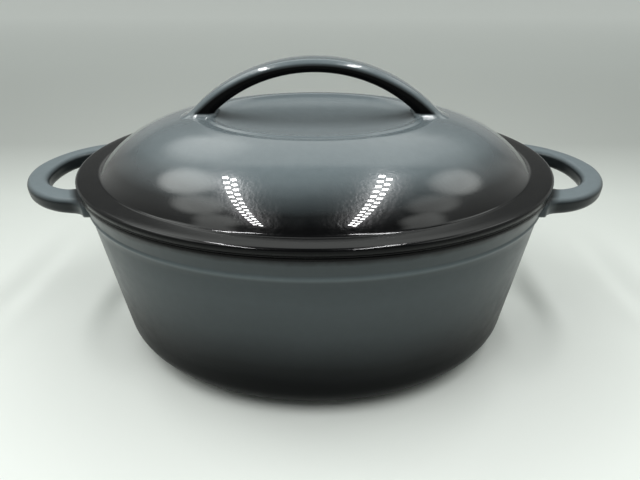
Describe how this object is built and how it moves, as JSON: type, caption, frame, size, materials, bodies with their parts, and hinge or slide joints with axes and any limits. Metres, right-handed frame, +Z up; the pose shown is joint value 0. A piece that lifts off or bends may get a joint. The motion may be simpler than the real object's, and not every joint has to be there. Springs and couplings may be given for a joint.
{
  "type": "dutch oven",
  "caption": "Oval enamelled cast iron pot with loop handles at its ends and a lift-off domed lid with a shallow dish and an arch handle",
  "frame": {"origin": "middle of the pot's flat base, on the table", "axes": "+Z up out of the pot and the way the lid lifts, X along the pot's length through both loop handles, Y across it"},
  "size_m": [0.376, 0.234, 0.19],
  "materials": {
    "bare_iron": "bare iron casting under the enamel, showing only on the pot's foot",
    "grey_enamel": "glossy vitreous enamel, mid grey shading to near black",
    "cream_enamel": "glossy cream vitreous enamel",
    "black_enamel": "satin black vitreous enamel on the meeting edges"
  },
  "bodies": {
    "pot": {"pot_casting": "bare_iron", "pot_outer_enamel": "grey_enamel", "pot_inner_enamel": "cream_enamel", "pot_rim_enamel": "black_enamel"},
    "lid": {"lid_casting": "bare_iron", "lid_outer_enamel": "grey_enamel", "lid_inner_enamel": "cream_enamel", "lid_rim_enamel": "black_enamel"}
  },
  "joints": [
    {"name": "lid_lift", "type": "slide", "parent": "pot", "child": "lid", "axis": [0, 0, 1], "range_m": [0, 0.15]}
  ]
}
